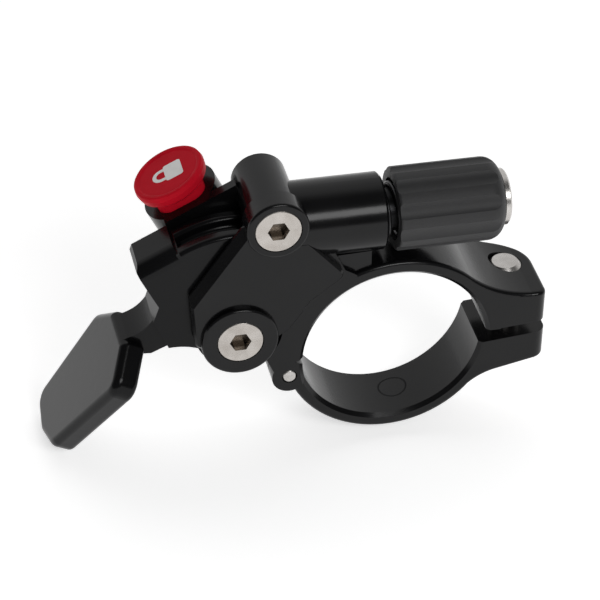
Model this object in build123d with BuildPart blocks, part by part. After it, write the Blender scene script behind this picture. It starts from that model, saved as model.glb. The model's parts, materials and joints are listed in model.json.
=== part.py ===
from build123d import *
from math import atan2, cos, degrees, hypot, radians, sin, sqrt
import os

os.makedirs("parts", exist_ok=True)

# The frame: the origin is the middle of the bar bore, +Y runs along the bar away from the
# front face, +X points to the clamp ears and +Z is up. All lengths are millimetres.

# Bar clamp
bar_diameter = 22.2
strap_wall = 1.75
strap_width = 8.6
clamp_front = -6.6
bore_chamfer = 0.45
rim_round = 0.5

# Upper ear, its underside rising towards the end
upper_ear_end = 18.2
upper_ear_top = 6.1
upper_ear_bottom = 1.5
upper_ear_rise = 0.5
upper_ear_back_round = 4.4
upper_ear_front_round = 1.2
ear_blend_angle = 46
ear_blend_reach = 16.3
ear_blend_sag = 0.6

# Lower ear, its top and its underside rising towards the end
lower_ear_end = 19.2
lower_ear_top = -2.0
lower_ear_bottom = -6.5
lower_ear_top_rise = 0.7
lower_ear_bottom_rise = 1.3
lower_ear_corner = 1.3
lower_ear_back_round = 3.0
lower_blend_angle = -46
lower_blend_reach = 13.0
lower_blend_sag = 0.4

# Hinge of the strap
hinge_x = -12.7
hinge_z = -1.7
hinge_pin_diameter = 1.7
lug_radius = 2.1
rear_lug_front = 2.3
hinge_gap = 0.15
hinge_clearance = 0.04
strap_end_gap = 0.45

# Pinch bolt
bolt_x = 14.8
bolt_diameter = 4.0
bolt_proud = 0.4
bolt_sink = 0.6
bolt_head_diameter = 7.0
bolt_head_height = 2.2
bolt_hex = 2.5
bolt_hex_depth = 1.3
thread_clearance = 0.04
press_clearance = 0.01
bolt_slot_clearance = 0.35
head_clearance = 0.25
seat_gap = 0.03

# Lever pivot and the upper fixing of the cover
pivot_x = -18.9
pivot_z = 5.5
upper_x = -14.6
upper_z = 20.2
cover_face = -8.2
plate_recess = 0.6
cover_skirt_back = -6.3
cover_edge = 0.25
cover_bevel = 0.95
lobe_round = 0.35
pivot_lobe_radius = 4.5
pivot_boss_rise = 0.1
upper_lobe_radius = 3.6
upper_lobe_length = 2.9
skirt_width = 1.9

# Cover outline
cover_left_top = (-18.3, 20.4)
cover_left_low = (-24.5, 11.6)
cover_right_corner = (-6.4, 12.7)
cover_ring_gap = 1.35
cover_corner_radius = 0.9

# Flat head screws
screw_diameter = 3.0
screw_head_diameter = 5.4
screw_head_rim = 0.35
screw_head_height = 1.6
screw_hex = 2.2
screw_hex_depth = 1.3
upper_screw_length = 9.6
pivot_screw_length = 13.6

# Lever disc
lever_front = -6.0
lever_back = -0.6
lever_tilt = 26.6
drum_radius = 13.3
drum_rim_round = 0.55
groove_depth = 1.35
groove_width = 1.9
groove_y = -3.3
drum_end_angle = 58
groove_start_angle = 50
groove_span = 69.5
block_left = -6.0
block_right = -1.0
block_top = 13.9
block_round = 0.5
block_front_round = 1.8
neck_front = -5.4
neck_top = 6.0
neck_curve = 2.1
neck_bottom = 2.35
hub_radius = 4.9
cable_hole_diameter = 1.4
nipple_diameter = 4.2
nipple_depth = 2.6
cable_hole_n = 10.7
cable_rise = 18.4

# Thumb paddle, seen on its pressing face: along its length from the crease, and across it
paddle_turn = 37
paddle_crease_e = -12.05
paddle_crease_n = 6.1
paddle_thickness = 3.0
paddle_face_round = 0.9
paddle_back_round = 0.7
paddle_corner = 2.2
crease_corner = 0.3
paddle_length = 20.0
paddle_rear_edge = 8.2
paddle_rear_shoulder = 4.4
paddle_front_edge = 10.2

# Pivot stack
sleeve_diameter = 5.0
sleeve_bore = 3.2
running_clearance = 0.04
washer_thickness = 0.25
washer_rim = 1.65
hub_pocket_radius = 5.3
pocket_gap = 0.3
pocket_start_angle = 54
pocket_end_angle = 250
pocket_back = -0.4

# Catch plate behind the lever
catch_thickness = 1.8
catch_radius = 6.8
catch_small_radius = 5.1
catch_start_angle = 74
catch_end_angle = 124
notch_angle = 86
notch_depth = 0.7
notch_half_angle = 1.4
notch_ramp = 10
rivet_diameter = 1.2
rivet_position_radius = 5.2
rivet_low_angle = 88
rivet_high_angle = 116
rivet_reach = 2.4
key_radius = 3.6
key_flat = 3.0

# Mechanism housing
housing_back = 6.0
housing_wall_front = 4.6
housing_lobe_radius = 6.2
housing_wide_radius = 8.4
room_wall = 0.9
room_low = 3.0
room_block_back = 4.2
room_cut = 3.4
cavity_wide_radius = 7.15
cavity_radius = 5.4
pivot_post_radius = 3.2
pivot_post_front = 1.5
rear_web_top = 10.5

# Release button
button_e = 1.8
button_y = 3.8
collar_radius = 4.5
collar_top = 14.1
collar_bottom = 9.6
ridge_left = -1.0
ridge_right = 8.2
ridge_back = 0.85
ridge_bottom = 11.5
cap_radius = 4.4
cap_rise = 1.45
cap_thickness = 1.75
cap_edge = 0.35
cap_dish = 0.15
stem_width = 6.0
stem_front = 0.95
stem_back = 6.6
stem_corner = 1.8
stem_bottom = 11.0
stem_clearance = 0.06
foot_e = 4.3
foot_radius = 0.3
foot_back = 2.3
foot_bottom = 9.92
foot_top = 11.4
barb_width = 2.4
barb_reach = 0.45
barb_top = 11.42
button_spring_y = 4.7
button_spring_diameter = 2.6
button_spring_wire = 0.4
button_spring_seat = 9.4
button_spring_pocket = 4.1
button_spring_turns = 4

# Pawl
pawl_e = 1.2
pawl_n = 8.3
pawl_boss_radius = 1.3
pawl_front = -0.3
pawl_back = 2.3
pawl_pin_diameter = 1.4
pawl_nose_angle = 114.4
pawl_nose_gap = 0.12
pawl_tail_end = 4.9
pawl_tail_top = 9.8
pawl_tail_thickness = 1.0
pawl_cavity_left = -3.6
pawl_cavity_right = 5.5
pawl_spring_wire = 0.3
pawl_spring_pitch = 0.35
pawl_spring_arm = 2.6
pawl_spring_tail = 3.6
pawl_room_back = 3.3

# Return spring of the lever
return_wire = 0.65
return_radius = 3.75
return_turns = 3
return_pitch = 0.7
return_front = 1.75
leg_clearance = 0.08

# Cable barrel and its adjuster
barrel_y = -3.1
barrel_rise = 0.7
barrel_radius = 4.5
barrel_start = -12.4
barrel_end = -1.6
barrel_end_chamfer = 0.3
adjuster_diameter = 5.0
adjuster_inner_end = -9.0
barrel_bore_end = -9.5
spring_pocket_radius = 3.4
spring_pocket_depth = 2.4
knob_start = -0.3
knob_end = 12.4
knob_radius = 4.85
knob_end_round = 1.9
knob_start_round = 0.3
flute_count = 10
flute_depth = 0.32
flute_radius = 1.9
knob_pocket_depth = 3.0
knob_bore_radius = 3.6
socket_bore = 4.2
socket_depth = 6.0
socket_outer = 5.8
socket_flange_radius = 3.3
socket_flange = 0.7
socket_floor = 0.8
adjuster_spring_wire = 0.5
adjuster_spring_diameter = 6.0
adjuster_spring_turns = 5

bar_radius = bar_diameter / 2
pocket_radius = drum_radius + pocket_gap
strap_radius = bar_radius + strap_wall
strap_half = strap_width / 2
clamp_back = strap_half
front_lug_back = -(strap_half + hinge_gap)
hinge_pin_radius = hinge_pin_diameter / 2
plate_face = cover_face + plate_recess
boss_face = cover_face - pivot_boss_rise
cap_top = collar_top + cap_rise + cap_thickness
barrel_z = strap_radius + barrel_rise + barrel_radius


def at_depth(y):
    """The plane facing the front at depth y, with its own x and y along X and Z."""
    return Plane.XZ.offset(-y)


def lever_plane(y):
    """The plane facing the front at depth y, on the pivot and turned with the lever's block."""
    along = (cos(radians(lever_tilt)), 0, sin(radians(lever_tilt)))
    return Plane(origin=(pivot_x, y, pivot_z), x_dir=along, z_dir=(0, -1, 0))


def ring_point(radius, angle):
    """A point of the front view on a circle about the bore."""
    return (radius * cos(radians(angle)), radius * sin(radians(angle)))


def pivot_point(radius, angle):
    """A point of the front view on a circle about the lever's pivot."""
    return (pivot_x + radius * cos(radians(angle)), pivot_z + radius * sin(radians(angle)))


def sector(radius, start, end):
    """The corner points of a pie slice about the local origin, reaching past the radius."""
    reach = radius * 1.6
    middle = (start + end) / 2
    quarter = (start + middle) / 2
    last = (middle + end) / 2
    angles = (start, quarter, middle, last, end)
    rim = [(reach * cos(radians(a)), reach * sin(radians(a))) for a in angles]
    return [(0, 0)] + rim + [(0, 0)]


def lever_spot(e, n):
    """A point on the middle plane, e along and n across the lever's block from the pivot."""
    tilt = radians(lever_tilt)
    return (pivot_x + e * cos(tilt) - n * sin(tilt), 0, pivot_z + e * sin(tilt) + n * cos(tilt))


def button_plane(n):
    """The plane across the button's axis at height n over the pivot."""
    tilt = radians(lever_tilt)
    along = (cos(tilt), 0, sin(tilt))
    up = (-sin(tilt), 0, cos(tilt))
    origin = (pivot_x + n * up[0], 0, pivot_z + n * up[2])
    return Plane(origin=origin, x_dir=along, z_dir=up)


# Body: upper half of the clamp, ear, cable barrel, post and mechanism housing in one casting
ear_blend_start = ring_point(strap_radius, ear_blend_angle)
ear_blend_end = (ear_blend_reach, upper_ear_top)
ear_blend_middle = (
    (ear_blend_start[0] + ear_blend_end[0]) / 2 - ear_blend_sag * 0.4,
    (ear_blend_start[1] + ear_blend_end[1]) / 2 - ear_blend_sag,
)
with BuildPart() as body:
    with BuildSketch(at_depth(clamp_back)):
        Circle(strap_radius)
        with Locations((0, upper_ear_bottom - strap_radius)):
            Rectangle(4 * strap_radius, 2 * strap_radius, mode=Mode.SUBTRACT)
        with BuildLine():
            ThreePointArc(ear_blend_start, ear_blend_middle, ear_blend_end)
            Polyline(
                ear_blend_end,
                (upper_ear_end, upper_ear_top),
                (upper_ear_end, upper_ear_bottom + upper_ear_rise),
                (bar_radius, upper_ear_bottom),
                (0, upper_ear_bottom),
                ear_blend_start,
            )
        make_face()
    extrude(amount=clamp_back - clamp_front)
    ear_corners = body.edges().filter_by(Axis.Z).group_by(Axis.X)[-1].sort_by(Axis.Y)
    fillet(ear_corners[-1], upper_ear_back_round)
    ear_corners = body.edges().filter_by(Axis.Z).group_by(Axis.X)[-1].sort_by(Axis.Y)
    fillet(ear_corners[0], upper_ear_front_round)
    crown = body.edges().filter_by(lambda edge: edge.center().Z > upper_ear_top - 1)
    front_crown = crown.filter_by(lambda edge: edge.center().Y < clamp_front + 0.1)
    fillet(front_crown, rim_round)
    # Left web between the bore, the pivot and the post
    with BuildSketch(at_depth(clamp_back)):
        with BuildLine():
            Polyline(
                ring_point(bar_radius - 1, 115),
                ring_point(strap_radius, 113),
                cover_right_corner,
                (upper_x + 6.2, upper_z - 3.4),
                (upper_x, upper_z),
                (pivot_x, pivot_z + cavity_radius),
                (pivot_x - 1.5, pivot_z - 2),
                (pivot_x + 3, pivot_z - 3.4),
                (hinge_x - 1.9, hinge_z + 0.9),
                (hinge_x + 0.4, hinge_z + lug_radius - 0.1),
                ring_point(bar_radius - 1, 175),
                ring_point(bar_radius - 1, 115),
            )
        make_face()
    extrude(amount=clamp_back - clamp_front)
    # Post of the upper screw
    with BuildSketch(at_depth(clamp_back - 1.2)):
        with Locations((upper_x, upper_z)):
            Circle(upper_lobe_radius - 0.4)
    extrude(amount=clamp_back - 1.2 - (cover_face + upper_lobe_length))
    # Cable barrel with the web that carries it
    with BuildSketch(at_depth(barrel_y)):
        with BuildLine():
            Polyline(
                (barrel_start, barrel_z),
                (barrel_start, barrel_z + barrel_radius),
                (barrel_end - barrel_end_chamfer, barrel_z + barrel_radius),
                (barrel_end, barrel_z + barrel_radius - barrel_end_chamfer),
                (barrel_end, barrel_z),
                (barrel_start, barrel_z),
            )
        make_face()
    revolve(axis=Axis((0, barrel_y, barrel_z), (1, 0, 0)))
    with BuildSketch(at_depth(barrel_y + 3.6)):
        with BuildLine():
            Polyline(
                (upper_x + 2, upper_z - 6),
                (barrel_end - 1.6, barrel_z - barrel_radius + 1),
                (barrel_end - 1.6, strap_radius - 0.6),
                ring_point(strap_radius - 0.5, 118),
                (upper_x + 2, upper_z - 6),
            )
        make_face()
    extrude(amount=barrel_y + 3.6 - (clamp_front + 0.6))
    # Rear housing behind the lever
    with BuildSketch(lever_plane(clamp_back)):
        with Locations(((ridge_left - 1.7 + ridge_right + 2) / 2, rear_web_top / 2)):
            Rectangle(ridge_right + 2 - ridge_left + 1.7, rear_web_top)
    extrude(amount=clamp_back - pocket_back)
    with BuildSketch(lever_plane(housing_back)):
        Circle(housing_lobe_radius)
        with BuildSketch(mode=Mode.PRIVATE) as wide:
            Circle(housing_wide_radius)
            with BuildLine():
                Polyline(*sector(housing_wide_radius, 62, 164))
            make_face(mode=Mode.INTERSECT)
        add(wide.sketch)
    extrude(amount=housing_back - pocket_back)
    with BuildSketch(lever_plane(room_block_back)):
        with BuildLine():
            Polyline(
                (pawl_cavity_left - room_wall, room_low),
                (pawl_cavity_left - room_wall, ridge_bottom - room_cut * 0.66),
                (pawl_cavity_left + room_cut * 0.38, ridge_bottom),
                (pawl_cavity_right + 1.3 * room_wall, ridge_bottom),
                (pawl_cavity_right + 1.3 * room_wall, room_low),
                (pawl_cavity_left - room_wall, room_low),
            )
        make_face()
    extrude(amount=room_block_back - pocket_back)
    slope = Plane(
        origin=lever_spot(pawl_cavity_left - 3, 0),
        x_dir=(0, 1, 0),
        z_dir=(cos(radians(lever_tilt)), 0, sin(radians(lever_tilt))),
    )
    with BuildSketch(slope):
        with BuildLine():
            Polyline(
                (room_block_back - 3.5, ridge_bottom + 1),
                (room_block_back + 1, ridge_bottom - 2.5),
                (room_block_back + 4, ridge_bottom - 2.5),
                (room_block_back + 4, ridge_bottom + 1),
                (room_block_back - 3.5, ridge_bottom + 1),
            )
        make_face()
    extrude(amount=4.6, mode=Mode.SUBTRACT)
    # Collar of the button and the straight front wall of its shaft
    with BuildSketch(button_plane(collar_bottom - 3)):
        with Locations((button_e, button_y)):
            Circle(collar_radius)
        with Locations((button_e, pocket_back - collar_radius)):
            Rectangle(4 * collar_radius, 2 * collar_radius, mode=Mode.SUBTRACT)
        with Locations((button_e, housing_back + collar_radius)):
            Rectangle(4 * collar_radius, 2 * collar_radius, mode=Mode.SUBTRACT)
    extrude(amount=3)
    with BuildSketch(button_plane(collar_bottom)):
        with Locations((button_e, button_y)):
            Circle(collar_radius)
        with Locations((button_e, pocket_back - collar_radius)):
            Rectangle(4 * collar_radius, 2 * collar_radius, mode=Mode.SUBTRACT)
    extrude(amount=collar_top - collar_bottom)
    with BuildSketch(lever_plane(ridge_back)):
        with Locations(((ridge_left + ridge_right) / 2, (rear_web_top + collar_top) / 2 - 1)):
            Rectangle(ridge_right - ridge_left, collar_top - rear_web_top + 2)
    extrude(amount=ridge_back - pocket_back)
    # Seat of the cover's upper lobe
    with BuildSketch(at_depth(cover_face + upper_lobe_length)):
        with Locations((upper_x, upper_z)):
            Circle(upper_lobe_radius + seat_gap)
    extrude(amount=upper_lobe_length + 1, mode=Mode.SUBTRACT)
    # Room for the lever and its hub
    with BuildSketch(at_depth(pocket_back)):
        with Locations((pivot_x, pivot_z)):
            Circle(hub_pocket_radius)
        with BuildSketch(mode=Mode.PRIVATE) as swept:
            Circle(pocket_radius)
            with BuildLine():
                Polyline(*sector(pocket_radius, pocket_start_angle, pocket_end_angle))
            make_face(mode=Mode.INTERSECT)
        with Locations((pivot_x, pivot_z)):
            add(swept.sketch)
    extrude(amount=pocket_back - cover_face + 1, mode=Mode.SUBTRACT)
    # Cavity of the catch plate, the pawl and the return spring
    with BuildSketch(lever_plane(housing_wall_front)):
        Circle(cavity_radius)
        Circle(pivot_post_radius, mode=Mode.SUBTRACT)
    extrude(amount=housing_wall_front - pocket_back + 0.1, mode=Mode.SUBTRACT)
    with BuildSketch(lever_plane(pivot_post_front)):
        Circle(pivot_post_radius + 0.1)
    extrude(amount=pivot_post_front - pocket_back + 0.1, mode=Mode.SUBTRACT)
    with BuildSketch(lever_plane(pawl_room_back)):
        with BuildSketch(mode=Mode.PRIVATE) as reach:
            Circle(cavity_wide_radius)
            with BuildLine():
                Polyline(*sector(cavity_wide_radius, 72, 154))
            make_face(mode=Mode.INTERSECT)
            Circle(pivot_post_radius, mode=Mode.SUBTRACT)
        add(reach.sketch)
        pawl_room_middle = (pawl_cavity_left + pawl_cavity_right) / 2
        with Locations((pawl_room_middle, (cavity_radius + ridge_bottom) / 2)):
            Rectangle(pawl_cavity_right - pawl_cavity_left, ridge_bottom - cavity_radius)
        with Locations((pawl_cavity_left, ridge_bottom)):
            Rectangle(room_cut, room_cut, rotation=45, mode=Mode.SUBTRACT)
    extrude(amount=pawl_room_back - pocket_back + 0.1, mode=Mode.SUBTRACT)
    # Shaft of the button
    shaft_depth = stem_back - stem_front
    with BuildSketch(button_plane(button_spring_seat)):
        with Locations((button_e, (stem_front + stem_back) / 2)):
            RectangleRounded(
                stem_width + 2 * stem_clearance, shaft_depth + 2 * stem_clearance, stem_corner
            )
    extrude(amount=collar_top - button_spring_seat + 1, mode=Mode.SUBTRACT)
    # Bar bore, split and hinge lugs
    with BuildSketch(at_depth(clamp_back + 3)):
        Circle(bar_radius)
    extrude(amount=30, mode=Mode.SUBTRACT)
    with BuildSketch(at_depth(clamp_back)):
        with Locations((hinge_x, hinge_z)):
            Circle(lug_radius)
    extrude(amount=clamp_back - rear_lug_front)
    with BuildSketch(at_depth(front_lug_back)):
        with Locations((hinge_x, hinge_z)):
            Circle(lug_radius)
    extrude(amount=front_lug_back - clamp_front)
    with BuildSketch(at_depth(rear_lug_front - 0.001)):
        with Locations((hinge_x, hinge_z)):
            Circle(lug_radius + strap_end_gap)
        with Locations((hinge_x + 2.4, hinge_z + 0.2)):
            Rectangle(4.8, 2 * lug_radius + 0.6)
    extrude(amount=rear_lug_front - front_lug_back, mode=Mode.SUBTRACT)
    with BuildSketch(at_depth(clamp_back + 1)):
        Circle(bar_radius)
        with Locations((hinge_x, hinge_z)):
            Circle(hinge_pin_radius + hinge_clearance)
    extrude(amount=30, mode=Mode.SUBTRACT)
    with BuildSketch(at_depth(clamp_back)):
        Circle(bar_radius + bore_chamfer)
    extrude(amount=bore_chamfer, taper=45, mode=Mode.SUBTRACT)
    with BuildSketch(Plane(origin=(0, clamp_front, 0), x_dir=(1, 0, 0), z_dir=(0, 1, 0))):
        Circle(bar_radius + bore_chamfer)
    extrude(amount=bore_chamfer, taper=45, mode=Mode.SUBTRACT)
    # Barrel bore, spring pocket and cable hole
    with BuildSketch(Plane.YZ.offset(barrel_bore_end)):
        with Locations((barrel_y, barrel_z)):
            Circle(adjuster_diameter / 2 + thread_clearance)
    extrude(amount=barrel_end - barrel_bore_end + 1, mode=Mode.SUBTRACT)
    with BuildSketch(Plane.YZ.offset(barrel_end - spring_pocket_depth)):
        with Locations((barrel_y, barrel_z)):
            Circle(spring_pocket_radius)
    extrude(amount=spring_pocket_depth + 1, mode=Mode.SUBTRACT)
    with BuildSketch(Plane.YZ.offset(barrel_start - 6)):
        with Locations((barrel_y, barrel_z)):
            Circle(cable_hole_diameter / 2)
    extrude(amount=barrel_bore_end - barrel_start + 7, mode=Mode.SUBTRACT)
    # Screw holes
    upper_screw_end = cover_face + upper_screw_length
    with BuildSketch(at_depth(upper_screw_end + 0.3)):
        with Locations((upper_x, upper_z)):
            Circle(screw_diameter / 2 + thread_clearance)
    extrude(amount=12, mode=Mode.SUBTRACT)
    pivot_screw_end = boss_face + pivot_screw_length
    with BuildSketch(at_depth(pivot_screw_end + 0.3)):
        with Locations((pivot_x, pivot_z)):
            Circle(screw_diameter / 2 + thread_clearance)
    extrude(amount=12, mode=Mode.SUBTRACT)
    with BuildSketch(lever_plane(housing_back - 0.6)):
        with Locations((pawl_e, pawl_n)):
            Circle(pawl_pin_diameter / 2 + press_clearance)
    extrude(amount=8, mode=Mode.SUBTRACT)
    with BuildSketch(Plane.XY.offset(upper_ear_bottom - 1)):
        with Locations((bolt_x, 0)):
            Circle(bolt_diameter / 2 + thread_clearance)
    extrude(amount=upper_ear_top - upper_ear_bottom + 3, mode=Mode.SUBTRACT)
    with BuildSketch(lever_plane(housing_back - 0.6)):
        with Locations((0, -return_radius)):
            Circle(return_wire / 2 + leg_clearance)
    extrude(amount=housing_back - 0.6 - housing_wall_front + 0.1, mode=Mode.SUBTRACT)
body.part.label = "body"
export_step(body.part, "parts/body.step")


# Front cover: cast plate with a lobe at each screw and a skirt over the lever's face
bevel_run = (cover_left_top[0] - cover_left_low[0], 0, cover_left_top[1] - cover_left_low[1])
with BuildPart() as front_cover:
    with BuildSketch(at_depth(clamp_front)):
        with BuildLine():
            FilletPolyline(
                (upper_x + 0.6, upper_z + 0.8),
                cover_left_top,
                cover_left_low,
                (cover_left_low[0] + 0.5, pivot_z - 0.6),
                (pivot_x + 0.9, pivot_z - 3.2),
                ring_point(strap_radius + cover_ring_gap, 155),
                ring_point(strap_radius + cover_ring_gap, 138),
                cover_right_corner,
                (upper_x + 4.4, upper_z - 3.2),
                (upper_x + 0.6, upper_z + 0.8),
                radius=cover_corner_radius,
                close=True,
            )
        make_face()
    extrude(amount=clamp_front - plate_face)
    chamfer(front_cover.faces().sort_by(Axis.Y)[0].edges(), cover_edge)
    with BuildSketch(at_depth(cover_skirt_back)):
        with BuildLine():
            FilletPolyline(
                cover_left_top,
                cover_left_low,
                (cover_left_low[0] + 0.5, pivot_z - 0.6),
                (pivot_x - 1.4, pivot_z),
                (cover_left_low[0] + skirt_width + 0.5, cover_left_low[1] + 0.3),
                (cover_left_top[0] + skirt_width, cover_left_top[1] - 0.6),
                cover_left_top,
                radius=cover_corner_radius,
                close=True,
            )
        make_face()
    extrude(amount=cover_skirt_back - clamp_front + 0.2)
    # Wide bevel along the left edge
    bevel_plane = Plane(
        origin=(cover_left_low[0], plate_face, cover_left_low[1]),
        x_dir=(0, 1, 0),
        z_dir=bevel_run,
    )
    with BuildSketch(bevel_plane.offset(-6)):
        with BuildLine():
            Polyline(
                (-1, 1),
                (cover_bevel + 1, 1),
                (cover_bevel, 0),
                (0, -cover_bevel),
                (-1, -cover_bevel - 1),
                (-1, 1),
            )
        make_face()
    extrude(amount=hypot(bevel_run[0], bevel_run[2]) + 9, mode=Mode.SUBTRACT)
    # Lobes of the screws, standing proud of the plate
    with BuildSketch(at_depth(cover_face + upper_lobe_length)):
        with Locations((upper_x, upper_z)):
            Circle(upper_lobe_radius)
    extrude(amount=upper_lobe_length)
    with BuildSketch(at_depth(cover_skirt_back)):
        with Locations((pivot_x, pivot_z)):
            Circle(pivot_lobe_radius)
    extrude(amount=cover_skirt_back - boss_face)
    lobe_rims = front_cover.edges().filter_by(lambda edge: edge.center().Y < cover_face + 0.01)
    fillet(lobe_rims, lobe_round)
    with BuildSketch(at_depth(cover_face + upper_lobe_length + 1)):
        with Locations((pivot_x, pivot_z)):
            Circle(pocket_radius)
    extrude(amount=cover_face + upper_lobe_length + 1 - cover_skirt_back, mode=Mode.SUBTRACT)
    with BuildSketch(Plane.YZ.offset(barrel_start)):
        with Locations((barrel_y, barrel_z)):
            Circle(barrel_radius + seat_gap)
    extrude(amount=6, mode=Mode.SUBTRACT)
    for x, z, face in ((upper_x, upper_z, cover_face), (pivot_x, pivot_z, boss_face)):
        rim = screw_head_diameter / 2 + seat_gap
        shank = screw_diameter / 2 + 0.1
        with BuildSketch(Plane.XY.offset(z)):
            with BuildLine():
                Polyline(
                    (x, face - 1),
                    (x + rim, face - 1),
                    (x + rim, face + screw_head_rim + seat_gap),
                    (x + shank, face + screw_head_height + seat_gap),
                    (x + shank, cover_face + upper_lobe_length + 1),
                    (x, cover_face + upper_lobe_length + 1),
                    (x, face - 1),
                )
            make_face()
        revolve(axis=Axis((x, 0, z), (0, 1, 0)), mode=Mode.SUBTRACT)
front_cover.part.label = "front_cover"
export_step(front_cover.part, "parts/front_cover.step")


def flat_head_section(x, face, length):
    """Half the outline of a flat head screw along +Y, its face at depth face."""
    head = screw_head_diameter / 2
    shank = screw_diameter / 2
    return [
        (x, face),
        (x + head - 0.1, face),
        (x + head, face + 0.1),
        (x + head, face + screw_head_rim),
        (x + shank, face + screw_head_height),
        (x + shank, face + length - 0.4),
        (x + shank - 0.4, face + length),
        (x, face + length),
        (x, face),
    ]


# Upper screw of the cover
with BuildPart() as cover_screw:
    with BuildSketch(Plane.XY.offset(upper_z)):
        with BuildLine():
            Polyline(*flat_head_section(upper_x, cover_face, upper_screw_length))
        make_face()
    revolve(axis=Axis((upper_x, 0, upper_z), (0, 1, 0)))
    with BuildSketch(at_depth(cover_face)):
        with Locations((upper_x, upper_z)):
            RegularPolygon(screw_hex / 2, 6, major_radius=False)
    extrude(amount=-screw_hex_depth, mode=Mode.SUBTRACT)
cover_screw.part.label = "cover_screw"
export_step(cover_screw.part, "parts/cover_screw.step")


# Pivot screw
with BuildPart() as pivot_screw:
    with BuildSketch(Plane.XY.offset(pivot_z)):
        with BuildLine():
            Polyline(*flat_head_section(pivot_x, boss_face, pivot_screw_length))
        make_face()
    revolve(axis=Axis((pivot_x, 0, pivot_z), (0, 1, 0)))
    with BuildSketch(at_depth(boss_face)):
        with Locations((pivot_x, pivot_z)):
            RegularPolygon(screw_hex / 2, 6, major_radius=False)
    extrude(amount=-screw_hex_depth, mode=Mode.SUBTRACT)
pivot_screw.part.label = "pivot_screw"
export_step(pivot_screw.part, "parts/pivot_screw.step")


# Clamp strap: lower half of the clamp with its knuckle and ear
lower_blend_start = ring_point(strap_radius, lower_blend_angle)
lower_blend_end = (lower_blend_reach, lower_ear_bottom)
lower_blend_middle = (
    (lower_blend_start[0] + lower_blend_end[0]) / 2 - lower_blend_sag * 0.4,
    (lower_blend_start[1] + lower_blend_end[1]) / 2 + lower_blend_sag,
)
with BuildPart() as clamp_strap:
    with BuildSketch(at_depth(strap_half)):
        Circle(strap_radius)
        with Locations((strap_radius, lower_ear_top + strap_radius)):
            Rectangle(2 * strap_radius, 2 * strap_radius, mode=Mode.SUBTRACT)
        with Locations((-strap_radius, hinge_z + strap_end_gap + strap_radius)):
            Rectangle(2 * strap_radius, 2 * strap_radius, mode=Mode.SUBTRACT)
        with BuildLine():
            ThreePointArc(lower_blend_start, lower_blend_middle, lower_blend_end)
            Polyline(
                lower_blend_end,
                (lower_ear_end, lower_ear_bottom + lower_ear_bottom_rise),
                (lower_ear_end, lower_ear_top + lower_ear_top_rise),
                (bar_radius, lower_ear_top),
                (0, lower_ear_top),
                lower_blend_start,
            )
        make_face()
    extrude(amount=strap_width)
    strap_corners = clamp_strap.edges().filter_by(Axis.Z).group_by(Axis.X)[-1].sort_by(Axis.Y)
    fillet(strap_corners[-1], lower_ear_back_round)
    strap_corners = clamp_strap.edges().filter_by(Axis.Z).group_by(Axis.X)[-1].sort_by(Axis.Y)
    fillet(strap_corners[0], lower_ear_corner)
    keel = clamp_strap.edges().filter_by(lambda edge: edge.center().Z < lower_ear_top - 1)
    front_keel = keel.filter_by(lambda edge: edge.center().Y < 0.01 - strap_half)
    fillet(front_keel, rim_round)
    with BuildSketch(at_depth(strap_half)):
        with Locations((hinge_x, hinge_z)):
            Circle(lug_radius)
    extrude(amount=strap_width)
    with BuildSketch(at_depth(strap_half)):
        Circle(bar_radius)
    extrude(amount=strap_width, mode=Mode.SUBTRACT)
    with BuildSketch(at_depth(strap_half)):
        Circle(bar_radius + bore_chamfer)
    extrude(amount=bore_chamfer, taper=45, mode=Mode.SUBTRACT)
    with BuildSketch(Plane(origin=(0, -strap_half, 0), x_dir=(1, 0, 0), z_dir=(0, 1, 0))):
        Circle(bar_radius + bore_chamfer)
    extrude(amount=bore_chamfer, taper=45, mode=Mode.SUBTRACT)
    # Room for the lug of the body at the back of the knuckle
    with BuildSketch(at_depth(strap_half + 1)):
        with Locations((hinge_x, hinge_z)):
            Circle(lug_radius + strap_end_gap)
    extrude(amount=strap_half + 1 - (rear_lug_front - hinge_gap), mode=Mode.SUBTRACT)
    with BuildSketch(at_depth(strap_half + 1)):
        with Locations((hinge_x, hinge_z)):
            Circle(hinge_pin_radius + hinge_clearance)
    extrude(amount=strap_width + 2, mode=Mode.SUBTRACT)
    with BuildSketch(Plane.XY.offset(lower_ear_bottom - 1)):
        with Locations((bolt_x, 0)):
            Circle(bolt_head_diameter / 2 + head_clearance)
    extrude(amount=1 + bolt_head_height + bolt_sink, mode=Mode.SUBTRACT)
    with BuildSketch(Plane.XY.offset(lower_ear_bottom)):
        with Locations((bolt_x, 0)):
            Circle(bolt_diameter / 2 + bolt_slot_clearance)
    extrude(amount=lower_ear_top - lower_ear_bottom + 1, mode=Mode.SUBTRACT)
clamp_strap.part.label = "clamp_strap"
export_step(clamp_strap.part, "parts/clamp_strap.step")


# Hinge pin
with BuildPart() as hinge_pin:
    with BuildSketch(at_depth(clamp_back)):
        with Locations((hinge_x, hinge_z)):
            Circle(hinge_pin_radius)
    extrude(amount=clamp_back - clamp_front)
    chamfer(hinge_pin.edges(), 0.15)
hinge_pin.part.label = "hinge_pin"
export_step(hinge_pin.part, "parts/hinge_pin.step")


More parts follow.
